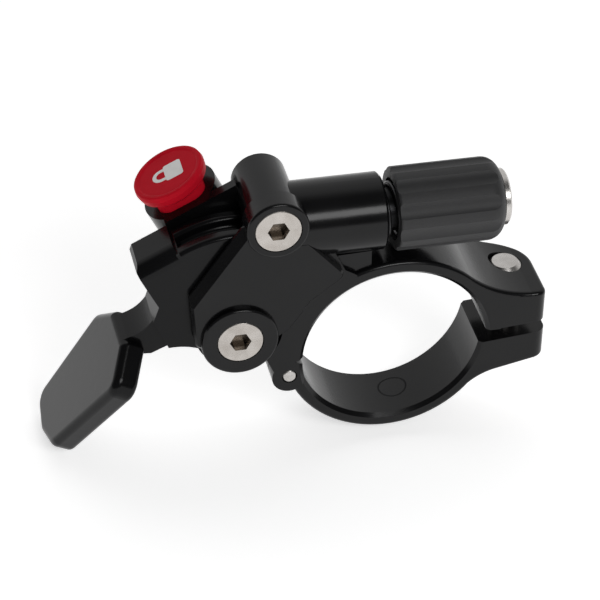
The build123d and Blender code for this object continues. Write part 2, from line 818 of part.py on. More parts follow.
# Pinch bolt: low head in the lower ear, threaded into the upper ear
bolt_seat = lower_ear_bottom + bolt_head_height + bolt_sink - seat_gap
with BuildPart() as pinch_bolt:
    with BuildSketch(Plane.XY.offset(bolt_seat - bolt_head_height)):
        with Locations((bolt_x, 0)):
            Circle(bolt_head_diameter / 2)
    extrude(amount=bolt_head_height)
    with BuildSketch(Plane.XY.offset(bolt_seat)):
        with Locations((bolt_x, 0)):
            Circle(bolt_diameter / 2)
    extrude(amount=upper_ear_top + bolt_proud - bolt_seat)
    chamfer(pinch_bolt.edges().filter_by(GeomType.CIRCLE).sort_by(Axis.Z)[-1], 0.45)
    chamfer(pinch_bolt.edges().filter_by(GeomType.CIRCLE).sort_by(Axis.Z)[0], 0.25)
    with BuildSketch(Plane.XY.offset(bolt_seat - bolt_head_height)):
        with Locations((bolt_x, 0)):
            RegularPolygon(bolt_hex / 2, 6, major_radius=False)
    extrude(amount=bolt_hex_depth, mode=Mode.SUBTRACT)
pinch_bolt.part.label = "pinch_bolt"
export_step(pinch_bolt.part, "parts/pinch_bolt.step")


# Pivot sleeve
sleeve_radius = sleeve_diameter / 2
hub_bore = sleeve_radius + running_clearance
catch_back = lever_back + catch_thickness
with BuildPart() as pivot_sleeve:
    with BuildSketch(at_depth(pivot_post_front - seat_gap)):
        with Locations((pivot_x, pivot_z)):
            Circle(sleeve_radius)
            Circle(sleeve_bore / 2, mode=Mode.SUBTRACT)
    extrude(amount=pivot_post_front - cover_skirt_back - 2 * seat_gap)
pivot_sleeve.part.label = "pivot_sleeve"
export_step(pivot_sleeve.part, "parts/pivot_sleeve.step")


# Front thrust washer
with BuildPart() as front_washer:
    with BuildSketch(at_depth(lever_front - seat_gap)):
        with Locations((pivot_x, pivot_z)):
            Circle(hub_bore + washer_rim)
            Circle(hub_bore, mode=Mode.SUBTRACT)
    extrude(amount=washer_thickness)
front_washer.part.label = "front_washer"
export_step(front_washer.part, "parts/front_washer.step")


# Rear thrust washer
with BuildPart() as rear_washer:
    with BuildSketch(at_depth(pivot_post_front - seat_gap)):
        with Locations((pivot_x, pivot_z)):
            Circle(pivot_post_radius)
            Circle(hub_bore, mode=Mode.SUBTRACT)
    extrude(amount=washer_thickness)
rear_washer.part.label = "rear_washer"
export_step(rear_washer.part, "parts/rear_washer.step")


# Thumb lever: disc with cable groove, anchor block, neck and paddle in one casting
paddle_angle = radians(lever_tilt + paddle_turn)
tilt = radians(lever_tilt)
paddle_plane = Plane(
    origin=lever_spot(paddle_crease_e, paddle_crease_n),
    x_dir=(-cos(paddle_angle), 0, -sin(paddle_angle)),
    z_dir=(-sin(paddle_angle), 0, cos(paddle_angle)),
)
groove_start = radians(groove_start_angle)
rivet_spots = [
    (rivet_position_radius * cos(radians(angle)), rivet_position_radius * sin(radians(angle)))
    for angle in (rivet_low_angle, rivet_high_angle)
]
with BuildPart() as thumb_lever:
    # Paddle
    with BuildSketch(paddle_plane):
        with BuildLine():
            FilletPolyline(
                (-0.3, -0.3),
                (3.2, -paddle_rear_shoulder),
                (paddle_length - 1, -paddle_rear_edge),
                (paddle_length, -2.4),
                (paddle_length - 1.4, 2.4),
                (3.6, paddle_front_edge),
                (-0.5, 6.3),
                radius=[crease_corner] + 5 * [paddle_corner] + [crease_corner],
                close=True,
            )
        make_face()
    extrude(amount=-paddle_thickness)
    paddle_faces = thumb_lever.faces().filter_by(GeomType.PLANE).sort_by(SortBy.AREA)[-2:]
    pressing_face = paddle_faces.sort_by(Axis.X)[0]
    fillet(pressing_face.edges(), paddle_face_round)
    paddle_faces = thumb_lever.faces().filter_by(GeomType.PLANE).sort_by(SortBy.AREA)[-2:]
    fillet(paddle_faces.sort_by(Axis.X)[-1].edges(), paddle_back_round)
    # Anchor block with its rounded top edge, running down into the hub
    block_foot = (block_left, neck_top + neck_curve)
    hub_side = (-0.94 * hub_radius, 0)
    underside = (block_left - 1.7, neck_bottom)
    with BuildSketch(lever_plane(lever_back)):
        with BuildLine():
            Polyline(
                hub_side,
                (0, 0),
                (block_right, block_top),
                (block_left + block_round, block_top),
                (block_left, block_top - block_round),
                block_foot,
                (block_left - 1.5, neck_top + 0.6),
                underside,
            )
            ThreePointArc(underside, (block_left - 0.3, neck_bottom - 0.75), hub_side)
        make_face()
    extrude(amount=lever_back - lever_front)
    block_corner = lever_spot((block_left + block_right) / 2, block_top)
    block_edge = Vertex(block_corner[0], lever_front, block_corner[2])
    fillet(thumb_lever.edges().sort_by_distance(block_edge)[0], block_front_round)
    # Disc and hub
    block_angle = degrees(atan2(block_top, block_right))
    with BuildSketch(lever_plane(lever_back)):
        with BuildSketch(mode=Mode.PRIVATE) as drum:
            Circle(drum_radius)
            with BuildLine():
                Polyline(*sector(drum_radius, drum_end_angle - lever_tilt, block_angle + 0.5))
            make_face(mode=Mode.INTERSECT)
        add(drum.sketch)
        Circle(hub_radius)
    extrude(amount=lever_back - lever_front)
    # Neck, its top curving down from the block to the paddle
    with BuildSketch(lever_plane(lever_back)):
        with BuildLine():
            ThreePointArc(
                block_foot,
                (block_left - 2.2, neck_top + 0.2),
                (paddle_crease_e + 0.9, neck_top),
            )
            Polyline(
                (paddle_crease_e + 0.9, neck_top),
                (paddle_crease_e + 0.3, paddle_crease_n - 0.1),
                (paddle_crease_e + 0.2, paddle_crease_n - 1.1),
                (paddle_crease_e + 0.9, neck_bottom + 0.9),
                (paddle_crease_e + 2.2, neck_bottom + 0.1),
                underside,
                (block_left, neck_bottom),
                block_foot,
            )
        make_face()
    extrude(amount=lever_back - neck_front)
    # Cable groove and the rounded rims beside it
    groove_plane = Plane(
        origin=(pivot_x, groove_y, pivot_z),
        x_dir=(cos(groove_start), 0, sin(groove_start)),
        z_dir=(-sin(groove_start), 0, cos(groove_start)),
    )
    with BuildSketch(groove_plane):
        with Locations((drum_radius + 0.5, (lever_front + lever_back) / 2 - groove_y)):
            Rectangle(3, lever_back - lever_front + 0.4)
        for rim_front, rim_back in (
            (lever_front, groove_y - groove_width / 2),
            (groove_y + groove_width / 2, lever_back),
        ):
            with Locations((drum_radius - 2, (rim_front + rim_back) / 2 - groove_y)):
                RectangleRounded(4, rim_back - rim_front, drum_rim_round, mode=Mode.SUBTRACT)
        with Locations((drum_radius - groove_depth + 1.5, 0)):
            RectangleRounded(3, groove_width, groove_width * 0.3)
    revolve(
        axis=Axis((pivot_x, 0, pivot_z), (0, -1, 0)),
        revolution_arc=groove_span,
        mode=Mode.SUBTRACT,
    )
    # Double flat key behind the hub, the bore and the rivet holes
    with BuildSketch(lever_plane(catch_back - 2 * seat_gap)):
        Circle(key_radius)
        Rectangle(3 * key_radius, 2 * key_flat, mode=Mode.INTERSECT)
    extrude(amount=catch_thickness)
    with BuildSketch(lever_plane(catch_back + 1)):
        Circle(hub_bore)
    extrude(amount=12, mode=Mode.SUBTRACT)
    with BuildSketch(lever_plane(lever_back)):
        with Locations(*rivet_spots):
            Circle(rivet_diameter / 2 + press_clearance)
    extrude(amount=rivet_reach + 0.1, mode=Mode.SUBTRACT)
    # Seat of the cable head in the block, with the hole to the groove
    cable_spot = lever_spot(block_left, cable_hole_n)
    cable_direction = tilt + radians(cable_rise)
    cable_plane = Plane(
        origin=(cable_spot[0], groove_y, cable_spot[2]),
        x_dir=(0, 1, 0),
        z_dir=(cos(cable_direction), 0, sin(cable_direction)),
    )
    with BuildSketch(cable_plane.offset(-1)):
        Circle(cable_hole_diameter / 2)
    extrude(amount=8.5, mode=Mode.SUBTRACT)
    with BuildSketch(cable_plane.offset(-1)):
        Circle(nipple_diameter / 2)
    extrude(amount=1 + nipple_depth, mode=Mode.SUBTRACT)
thumb_lever.part.label = "thumb_lever"
export_step(thumb_lever.part, "parts/thumb_lever.step")


# Catch plate with its lock notch
notch_floor = catch_radius - notch_depth
notch_mouth = catch_radius + 0.5
notch_wall_angle = radians(notch_angle + notch_half_angle)
notch_ramp_angle = radians(notch_angle + notch_half_angle - notch_ramp)
with BuildPart() as catch_plate:
    with BuildSketch(lever_plane(catch_back)):
        Circle(catch_small_radius)
        with BuildSketch(mode=Mode.PRIVATE) as wide_catch:
            Circle(catch_radius)
            with BuildLine():
                Polyline(*sector(catch_radius, catch_start_angle, catch_end_angle))
            make_face(mode=Mode.INTERSECT)
        add(wide_catch.sketch)
        with BuildLine():
            Polyline(
                (notch_floor * cos(notch_wall_angle), notch_floor * sin(notch_wall_angle)),
                (notch_mouth * cos(notch_wall_angle), notch_mouth * sin(notch_wall_angle)),
                (notch_mouth * cos(notch_ramp_angle), notch_mouth * sin(notch_ramp_angle)),
                (notch_floor * cos(notch_wall_angle), notch_floor * sin(notch_wall_angle)),
            )
        make_face(mode=Mode.SUBTRACT)
        with BuildSketch(mode=Mode.PRIVATE) as keyway:
            Circle(key_radius + seat_gap)
            Rectangle(3 * key_radius, 2 * (key_flat + seat_gap), mode=Mode.INTERSECT)
        add(keyway.sketch, mode=Mode.SUBTRACT)
        with Locations(*rivet_spots):
            Circle(rivet_diameter / 2 + press_clearance, mode=Mode.SUBTRACT)
        with Locations((0, -return_radius)):
            Circle(return_wire / 2 + leg_clearance, mode=Mode.SUBTRACT)
    extrude(amount=catch_thickness - seat_gap)
catch_plate.part.label = "catch_plate"
export_step(catch_plate.part, "parts/catch_plate.step")


# Two rivets of the catch plate
with BuildPart() as catch_rivets:
    with BuildSketch(lever_plane(catch_back)):
        with Locations(*rivet_spots):
            Circle(rivet_diameter / 2)
    extrude(amount=catch_thickness + rivet_reach)
catch_rivets.part.label = "catch_rivets"
export_step(catch_rivets.part, "parts/catch_rivets.step")


def coil(plane, radius, wire, pitch, turns):
    """A helical coil of round wire that starts on the plane's x axis and rises along its z."""
    path = plane.from_local_coords(Helix(pitch, pitch * turns, radius))
    section = Plane(origin=path @ 0, z_dir=path % 0)
    return sweep(section * Circle(wire / 2), path, is_frenet=True)


# Return spring of the lever, round the pivot post, with a leg at each end
return_plane = Plane(
    origin=(pivot_x, return_front + return_wire / 2, pivot_z),
    x_dir=(sin(tilt), 0, -cos(tilt)),
    z_dir=(0, 1, 0),
)
return_coil = coil(return_plane, return_radius, return_wire, return_pitch, return_turns)
with BuildPart() as return_spring:
    add(return_coil)
    with BuildSketch(lever_plane(return_front + return_wire / 2)):
        with Locations((0, -return_radius)):
            Circle(return_wire / 2)
    extrude(amount=return_front + return_wire / 2 - 0.1)
    coil_end = return_front + return_wire / 2 + return_pitch * return_turns
    with BuildSketch(lever_plane(coil_end)):
        with Locations((0, -return_radius)):
            Circle(return_wire / 2)
    extrude(amount=-(housing_back - 0.8 - coil_end))
return_spring.part.label = "return_spring"
export_step(return_spring.part, "parts/return_spring.step")


# Pawl
nose_radius = catch_radius + pawl_nose_gap
nose = (nose_radius * cos(radians(pawl_nose_angle)), nose_radius * sin(radians(pawl_nose_angle)))
with BuildPart() as pawl:
    with BuildSketch(lever_plane(pawl_back)):
        with Locations((pawl_e, pawl_n)):
            Circle(pawl_boss_radius)
        with BuildLine():
            Polyline(
                (pawl_e, pawl_n + pawl_boss_radius),
                (nose[0] + 0.4, nose[1] + 1.7),
                (nose[0] - 0.5, nose[1] + 0.9),
                nose,
                (nose[0] + 0.9, nose[1] + 0.65),
                (pawl_e - 0.6, pawl_n - 1.05),
                (pawl_e, pawl_n),
                (pawl_e, pawl_n + pawl_boss_radius),
            )
        make_face()
        with BuildLine():
            Polyline(
                (pawl_e + 0.2, pawl_n + pawl_boss_radius - 0.05),
                (pawl_e + 1.2, pawl_tail_top),
                (pawl_tail_end, pawl_tail_top),
                (pawl_tail_end, pawl_tail_top - pawl_tail_thickness),
                (pawl_e + 1.1, pawl_n - 0.3),
                (pawl_e, pawl_n),
                (pawl_e + 0.2, pawl_n + pawl_boss_radius - 0.05),
            )
        make_face()
        with Locations((pawl_e, pawl_n)):
            Circle(pawl_pin_diameter / 2 + running_clearance, mode=Mode.SUBTRACT)
    extrude(amount=pawl_back - pawl_front)
pawl.part.label = "pawl"
export_step(pawl.part, "parts/pawl.step")


# Pawl pin
with BuildPart() as pawl_pin:
    with BuildSketch(lever_plane(housing_back - 0.7)):
        with Locations((pawl_e, pawl_n)):
            Circle(pawl_pin_diameter / 2)
    extrude(amount=housing_back - 0.7 - pawl_front)
pawl_pin.part.label = "pawl_pin"
export_step(pawl_pin.part, "parts/pawl_pin.step")


# Pawl spring: a coil on the pin with one leg on the housing and one hooked over the arm
def lever_point(e, n):
    """A point of the front view given along and across the lever's block."""
    spot = lever_spot(e, n)
    return (spot[0], spot[2])


pawl_spring_y = pawl_back + 0.1 + pawl_spring_wire / 2
pawl_spring_radius = pawl_pin_diameter / 2 + 0.12 + pawl_spring_wire / 2
pawl_centre = lever_point(pawl_e, pawl_n)
pawl_spring_plane = Plane(
    origin=(pawl_centre[0], pawl_spring_y, pawl_centre[1]),
    x_dir=(-sin(tilt), 0, cos(tilt)),
    z_dir=(0, 1, 0),
)
pawl_coil = coil(pawl_spring_plane, pawl_spring_radius, pawl_spring_wire, pawl_spring_pitch, 1.5)
with BuildPart() as pawl_spring:
    add(pawl_coil)
    leg_start = lever_point(pawl_e, pawl_n + pawl_spring_radius)
    leg_end = lever_point(pawl_e - pawl_spring_arm, pawl_n + 0.4)
    run = (leg_end[0] - leg_start[0], 0, leg_end[1] - leg_start[1])
    with BuildSketch(Plane(origin=(leg_start[0], pawl_spring_y, leg_start[1]), z_dir=run)):
        Circle(pawl_spring_wire / 2)
    extrude(amount=hypot(run[0], run[2]))
    with BuildSketch(at_depth(pawl_spring_y)):
        with Locations(leg_end):
            Circle(pawl_spring_wire / 2)
    extrude(amount=1.1)
    tail_start = lever_point(pawl_e, pawl_n - pawl_spring_radius)
    tail_end = lever_point(pawl_e + pawl_spring_tail, pawl_n - pawl_spring_radius + 0.2)
    tail_y = pawl_spring_y + 1.5 * pawl_spring_pitch
    tail_run = (tail_end[0] - tail_start[0], 0, tail_end[1] - tail_start[1])
    with BuildSketch(Plane(origin=(tail_start[0], tail_y, tail_start[1]), z_dir=tail_run)):
        Circle(pawl_spring_wire / 2)
    extrude(amount=hypot(tail_run[0], tail_run[2]))
pawl_spring.part.label = "pawl_spring"
export_step(pawl_spring.part, "parts/pawl_spring.step")


# Release button: round cap on a flat fronted stem
cap_bottom = cap_top - cap_thickness
cap_origin = lever_point(button_e, cap_bottom)
with BuildPart() as release_button:
    cap_section = Plane(
        origin=(cap_origin[0], button_y, cap_origin[1]),
        x_dir=(0, 1, 0),
        z_dir=(cos(tilt), 0, sin(tilt)),
    )
    with BuildSketch(cap_section):
        with BuildLine():
            Polyline(
                (0, 0),
                (cap_radius - 0.5, 0),
                (cap_radius - 0.15, 0.35),
                (cap_radius, cap_thickness - cap_edge - 0.25),
                (cap_radius - 0.1, cap_thickness - 0.1),
                (cap_radius - 0.3, cap_thickness),
                (cap_radius - 0.55, cap_thickness - 0.03),
                (cap_radius - 0.8, cap_thickness - cap_dish),
                (0, cap_thickness - cap_dish),
                (0, 0),
            )
        make_face()
    revolve(axis=Axis((cap_origin[0], button_y, cap_origin[1]), (-sin(tilt), 0, cos(tilt))))
    with BuildSketch(button_plane(stem_bottom)):
        with Locations((button_e, (stem_front + stem_back) / 2)):
            RectangleRounded(stem_width, shaft_depth, stem_corner)
    extrude(amount=cap_bottom - stem_bottom + 0.3)
    with BuildSketch(button_plane(stem_bottom - 0.5)):
        with Locations((button_e, button_spring_y)):
            Circle(button_spring_diameter / 2 + 0.2)
    extrude(amount=button_spring_pocket, mode=Mode.SUBTRACT)
    with BuildSketch(lever_plane(foot_back)):
        with Locations((foot_e, foot_bottom + foot_radius)):
            Circle(foot_radius)
        with Locations((foot_e, (foot_bottom + foot_radius + foot_top) / 2)):
            Rectangle(2 * foot_radius, foot_top - foot_bottom - foot_radius)
    extrude(amount=foot_back - stem_front - 0.3)
    with BuildSketch(lever_plane(stem_front + 0.3)):
        with Locations((button_e, (stem_bottom + barb_top) / 2)):
            Rectangle(barb_width, barb_top - stem_bottom)
    extrude(amount=0.3 + barb_reach)
release_button.part.label = "release_button"
export_step(release_button.part, "parts/release_button.step")


# Button spring
button_spring_radius = (button_spring_diameter - button_spring_wire) / 2
seat = lever_point(button_e, button_spring_seat + button_spring_wire / 2 + 0.05)
button_spring_plane = Plane(
    origin=(seat[0], button_spring_y, seat[1]),
    x_dir=(0, 1, 0),
    z_dir=(-sin(tilt), 0, cos(tilt)),
)
spring_top = stem_bottom - 0.5 + button_spring_pocket - button_spring_wire / 2 - 0.05
spring_rise = spring_top - button_spring_seat - button_spring_wire / 2 - 0.05
button_coil = coil(
    button_spring_plane,
    button_spring_radius,
    button_spring_wire,
    spring_rise / button_spring_turns,
    button_spring_turns,
)
with BuildPart() as button_spring:
    add(button_coil)
button_spring.part.label = "button_spring"
export_step(button_spring.part, "parts/button_spring.step")


# Adjuster: hollow screw, moulded knob, detent spring and the socket of the cable housing
adjuster_radius = adjuster_diameter / 2
socket_start = knob_end - socket_depth - socket_floor
with BuildPart() as adjuster_screw:
    with BuildSketch(Plane.YZ.offset(adjuster_inner_end)):
        with Locations((barrel_y, barrel_z)):
            Circle(adjuster_radius)
    extrude(amount=knob_start + knob_pocket_depth - adjuster_inner_end)
    with BuildSketch(Plane.YZ.offset(knob_start + knob_pocket_depth)):
        with Locations((barrel_y, barrel_z)):
            Circle(knob_bore_radius)
    extrude(amount=knob_end - knob_start - knob_pocket_depth - 0.4)
    with BuildSketch(Plane.YZ.offset(adjuster_inner_end)):
        with Locations((barrel_y, barrel_z)):
            Circle(cable_hole_diameter / 2 + 0.1)
    extrude(amount=40, mode=Mode.SUBTRACT)
    with BuildSketch(Plane.YZ.offset(socket_start)):
        with Locations((barrel_y, barrel_z)):
            Circle(socket_outer / 2 + running_clearance)
    extrude(amount=20, mode=Mode.SUBTRACT)
    chamfer(adjuster_screw.edges().filter_by(GeomType.CIRCLE).sort_by(Axis.X)[1], 0.4)
adjuster_screw.part.label = "adjuster_screw"
export_step(adjuster_screw.part, "parts/adjuster_screw.step")

with BuildPart() as adjuster_knob:
    with BuildSketch(Plane.YZ.offset(knob_start)):
        with Locations((barrel_y, barrel_z)):
            Circle(knob_radius)
    extrude(amount=knob_end - knob_start)
    knob_rims = adjuster_knob.edges().filter_by(GeomType.CIRCLE).sort_by(Axis.X)
    fillet(knob_rims[-1], knob_end_round)
    fillet(adjuster_knob.edges().filter_by(GeomType.CIRCLE).sort_by(Axis.X)[0], knob_start_round)
    with BuildSketch(Plane.YZ.offset(knob_start - 1)):
        with Locations((barrel_y, barrel_z)):
            with PolarLocations(knob_radius + flute_radius - flute_depth, flute_count, start_angle=8):
                Circle(flute_radius)
    extrude(amount=knob_end - knob_start + 2, mode=Mode.SUBTRACT)
    with BuildSketch(Plane.YZ.offset(knob_start)):
        with Locations((barrel_y, barrel_z)):
            Circle(knob_bore_radius + seat_gap)
    extrude(amount=20, mode=Mode.SUBTRACT)
adjuster_knob.part.label = "adjuster_knob"
export_step(adjuster_knob.part, "parts/adjuster_knob.step")

spring_start = barrel_end - spring_pocket_depth + adjuster_spring_wire / 2 + 0.05
spring_stop = knob_start + knob_pocket_depth - adjuster_spring_wire / 2 - 0.05
adjuster_spring_plane = Plane(
    origin=(spring_start, barrel_y, barrel_z), x_dir=(0, -1, 0), z_dir=(1, 0, 0)
)
adjuster_coil = coil(
    adjuster_spring_plane,
    adjuster_spring_diameter / 2,
    adjuster_spring_wire,
    (spring_stop - spring_start) / adjuster_spring_turns,
    adjuster_spring_turns,
)
with BuildPart() as adjuster_spring:
    add(adjuster_coil)
adjuster_spring.part.label = "adjuster_spring"
export_step(adjuster_spring.part, "parts/adjuster_spring.step")

with BuildPart() as housing_socket:
    with BuildSketch(Plane.YZ.offset(socket_start + seat_gap)):
        with Locations((barrel_y, barrel_z)):
            Circle(socket_outer / 2)
    extrude(amount=knob_end + seat_gap - socket_start - seat_gap)
    with BuildSketch(Plane.YZ.offset(knob_end + seat_gap)):
        with Locations((barrel_y, barrel_z)):
            Circle(socket_flange_radius)
    extrude(amount=socket_flange)
    chamfer(housing_socket.edges().filter_by(GeomType.CIRCLE).sort_by(Axis.X)[-1], 0.2)
    with BuildSketch(Plane.YZ.offset(socket_start)):
        with Locations((barrel_y, barrel_z)):
            Circle(cable_hole_diameter / 2 + 0.1)
    extrude(amount=20, mode=Mode.SUBTRACT)
    with BuildSketch(Plane.YZ.offset(knob_end + seat_gap + socket_flange - socket_depth)):
        with Locations((barrel_y, barrel_z)):
            Circle(socket_bore / 2)
    extrude(amount=20, mode=Mode.SUBTRACT)
housing_socket.part.label = "housing_socket"
export_step(housing_socket.part, "parts/housing_socket.step")
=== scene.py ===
import json
import math

import bmesh
import bpy
from mathutils import Matrix, Vector


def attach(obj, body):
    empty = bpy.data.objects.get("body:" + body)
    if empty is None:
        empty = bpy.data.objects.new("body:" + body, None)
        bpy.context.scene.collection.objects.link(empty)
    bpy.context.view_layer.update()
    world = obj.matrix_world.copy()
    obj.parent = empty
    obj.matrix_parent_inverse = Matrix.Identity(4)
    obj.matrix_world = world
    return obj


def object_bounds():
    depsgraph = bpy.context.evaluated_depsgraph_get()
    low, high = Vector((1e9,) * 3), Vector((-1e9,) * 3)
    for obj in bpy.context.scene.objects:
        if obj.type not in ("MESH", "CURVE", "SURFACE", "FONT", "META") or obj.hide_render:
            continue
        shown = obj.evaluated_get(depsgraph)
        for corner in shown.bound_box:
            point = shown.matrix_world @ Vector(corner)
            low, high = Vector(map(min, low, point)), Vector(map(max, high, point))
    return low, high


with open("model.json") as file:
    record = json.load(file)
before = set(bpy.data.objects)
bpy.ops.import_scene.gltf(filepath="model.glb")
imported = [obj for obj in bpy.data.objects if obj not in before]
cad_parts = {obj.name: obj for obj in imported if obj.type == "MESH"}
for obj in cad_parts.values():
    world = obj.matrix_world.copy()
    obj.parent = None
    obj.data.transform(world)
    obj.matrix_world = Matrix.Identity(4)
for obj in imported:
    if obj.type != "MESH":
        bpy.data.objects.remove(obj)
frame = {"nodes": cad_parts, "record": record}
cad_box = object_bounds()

scene = bpy.context.scene
scene.view_settings.view_transform = "Standard"
MM = 0.001

# Camera, in millimetres and unit directions of the part's own frame
CAMERA_PLACE = Vector((-66.85, -240.41, 185.31))
CAMERA_RIGHT = Vector((0.9758, -0.2181, 0.0163))
CAMERA_UP = Vector((0.1162, 0.5798, 0.8064))
CAMERA_FOCAL_PIXELS = 2604.58
IMAGE_PIXELS = 600
SENSOR_MM = 36

# How much the paint mirrors, on the castings and on the lever, and its relief in metres
PAINT_SHINE = 0.25
LEVER_SHINE = 0.17
PEEL_DEPTH = 0.000006

# The ejector mark in the strap's bore, in millimetres: a fine ring that mirrors less and
# is sunk by this many depths of the paint's relief
MARK_PLACE = Vector((1.78, 0.49, -10.95)) * MM
MARK_RADIUS = 1.7
MARK_WIDTH = 0.1
MARK_SHINE = 0.08
MARK_SINK = 12

# Bare metals: darkest and lightest colour, lowest and highest roughness, relief in metres
METALS = {
    "bright_steel": ((0.48, 0.46, 0.44), (0.58, 0.56, 0.54), 0.2, 0.34),
    "plain_steel": ((0.30, 0.30, 0.31), (0.40, 0.40, 0.41), 0.3, 0.42),
    "bearing_brass": ((0.62, 0.46, 0.2), (0.7, 0.54, 0.27), 0.24, 0.34),
    "black_alloy": ((0.02, 0.02, 0.021), (0.03, 0.03, 0.032), 0.3, 0.4),
}
DARK_SPRING = ((0.05, 0.05, 0.052), (0.08, 0.08, 0.082), 0.35, 0.45)
SCREW_STEEL = ((0.42, 0.39, 0.36), (0.52, 0.49, 0.46), 0.22, 0.34)
GRAIN_DEPTH = 0.000004

# The sockets of the front screws are darkened with painted shade between these depths under the face,
# in millimetres, standing in for the shade that falls in the recess
SOCKET_SHADE_START = 0.45
SOCKET_SHADE_FULL = 0.8
# The dark colour of the painted shade in the screw sockets
SOCKET_PAINTED_SHADE = (0.10, 0.085, 0.07, 1)

# The button's axis leans to the left by this many degrees. In millimetres: the band under its
# top that counts as its rim, and how deep the print lies in the dish and how thick it is
BUTTON_TILT = 26.6
RIM_BAND = 0.05
PRINT_DEPTH = 0.14
PRINT_THICKNESS = 0.02

# The printed padlock, in millimetres about the button's middle
LOCK_HALF_WIDTH = 1.45
LOCK_LOW = -1.8
LOCK_HIGH = 0.4
LOCK_CORNER = 0.35
SHACKLE_FOOT = 0.35
SHACKLE_BEND = 0.85
SHACKLE_OUTER = 1.08
SHACKLE_INNER = 0.6
CORNER_STEPS = 5
SHACKLE_STEPS = 16

# The direction of the backdrop, the cosines to it between which it fades in, and how bright
# it, the dark walls and the floor's glow are
BACKDROP_WAY = (0.2, 0.98, 0)
BACKDROP_EDGES = (-0.1, 0.45)
BACKDROP = 0.8
DARK_WALL = 0.12
FLOOR_GLOW = 0.58

# The floor's half side in metres, and its gap under the part in millimetres
FLOOR_HALF = 3.0
FLOOR_GAP = 0.2

# The soft light behind the camera and to its right: millimetres and watts
LIGHT_PLACE = Vector((110, -430, 330))
LIGHT_AIM = Vector((-10, 0, 5))
LIGHT_WIDE = 260
LIGHT_HIGH = 170
LIGHT_POWER = 0.9


def add_camera():
    """The photograph's camera: place, direction and field of view."""
    right = CAMERA_RIGHT.normalized()
    back = right.cross(CAMERA_UP).normalized()
    up = back.cross(right)
    data = bpy.data.cameras.new("camera")
    data.sensor_width = SENSOR_MM
    data.lens = CAMERA_FOCAL_PIXELS / IMAGE_PIXELS * SENSOR_MM
    data.clip_start = 0.01
    data.clip_end = 20
    camera = bpy.data.objects.new("camera", data)
    turn = Matrix((right, up, back)).transposed().to_4x4()
    camera.matrix_world = Matrix.Translation(CAMERA_PLACE * MM) @ turn
    scene.collection.objects.link(camera)
    scene.camera = camera


def new_material(name):
    """A node material with its shader and the object's own coordinates."""
    material = bpy.data.materials.new(name)
    material.use_nodes = True
    nodes = material.node_tree.nodes
    shader = nodes["Principled BSDF"]
    place = nodes.new("ShaderNodeTexCoord")
    return material, nodes, material.node_tree.links, shader, place.outputs["Object"]


def noise(nodes, links, place, scale, detail=3.0):
    """Noise in the object's own space; scale is the number of grains in a metre."""
    node = nodes.new("ShaderNodeTexNoise")
    node.inputs["Scale"].default_value = scale
    node.inputs["Detail"].default_value = detail
    node.inputs["Roughness"].default_value = 0.5
    links.new(place, node.inputs["Vector"])
    return node.outputs["Fac"]


def spread(nodes, links, value, low, high):
    """The value 0 to 1 mapped to low to high."""
    node = nodes.new("ShaderNodeMapRange")
    node.inputs["To Min"].default_value = low
    node.inputs["To Max"].default_value = high
    links.new(value, node.inputs["Value"])
    return node.outputs["Result"]


def tint(nodes, links, value, low, high):
    """A colour between low and high by the value."""
    ramp = nodes.new("ShaderNodeValToRGB")
    ramp.color_ramp.elements[0].position = 0.3
    ramp.color_ramp.elements[1].position = 0.7
    ramp.color_ramp.elements[0].color = (*low, 1)
    ramp.color_ramp.elements[1].color = (*high, 1)
    links.new(value, ramp.inputs["Fac"])
    return ramp.outputs["Color"]


def coat(nodes, links, shader, patches, low, high, rough_low, rough_high):
    """Colour and roughness that both vary a little with the patches."""
    links.new(tint(nodes, links, patches, low, high), shader.inputs["Base Color"])
    links.new(spread(nodes, links, patches, rough_low, rough_high), shader.inputs["Roughness"])


def bump(nodes, links, shader, value, depth):
    """A relief of the given depth in metres from the value."""
    node = nodes.new("ShaderNodeBump")
    node.inputs["Distance"].default_value = depth
    node.inputs["Strength"].default_value = 1
    links.new(value, node.inputs["Height"])
    links.new(node.outputs["Normal"], shader.inputs["Normal"])


def ring_mark(nodes, links, place, centre):
    """1 on a fine ring about a point and 0 elsewhere, as an ejector pin leaves in a casting."""
    away = nodes.new("ShaderNodeVectorMath")
    away.operation = "DISTANCE"
    away.inputs[1].default_value = centre
    links.new(place, away.inputs[0])
    ring = nodes.new("ShaderNodeMath")
    ring.operation = "COMPARE"
    ring.inputs[1].default_value = MARK_RADIUS * MM
    ring.inputs[2].default_value = MARK_WIDTH * MM
    links.new(away.outputs["Value"], ring.inputs[0])
    return ring.outputs["Value"]


def black_paint(name, mark=None, shine=PAINT_SHINE):
    """Gloss black paint on a casting: slight orange peel and uneven gloss."""
    material, nodes, links, shader, place = new_material(name)
    patches = noise(nodes, links, place, 180)
    peel = noise(nodes, links, place, 900, detail=1.5)
    coat(nodes, links, shader, patches, (0.003, 0.003, 0.0034), (0.005, 0.005, 0.0055), 0.16, 0.22)
    shader.inputs["Specular IOR Level"].default_value = shine
    if mark is None:
        bump(nodes, links, shader, peel, PEEL_DEPTH)
        return material
    ring = ring_mark(nodes, links, place, mark)
    dulled = spread(nodes, links, ring, shine, MARK_SHINE)
    links.new(dulled, shader.inputs["Specular IOR Level"])
    joined = nodes.new("ShaderNodeMath")
    joined.operation = "MULTIPLY_ADD"
    joined.inputs[1].default_value = -MARK_SINK
    links.new(ring, joined.inputs[0])
    links.new(peel, joined.inputs[2])
    bump(nodes, links, shader, joined.outputs["Value"], PEEL_DEPTH)
    return material


def knob_rubber():
    """Matt black moulded grip with a fine grain."""
    material, nodes, links, shader, place = new_material("knob_rubber")
    grain = noise(nodes, links, place, 5200, detail=2)
    patches = noise(nodes, links, place, 260)
    coat(nodes, links, shader, patches, (0.014, 0.014, 0.015), (0.020, 0.020, 0.021), 0.5, 0.6)
    bump(nodes, links, shader, grain, 0.00002)
    return material


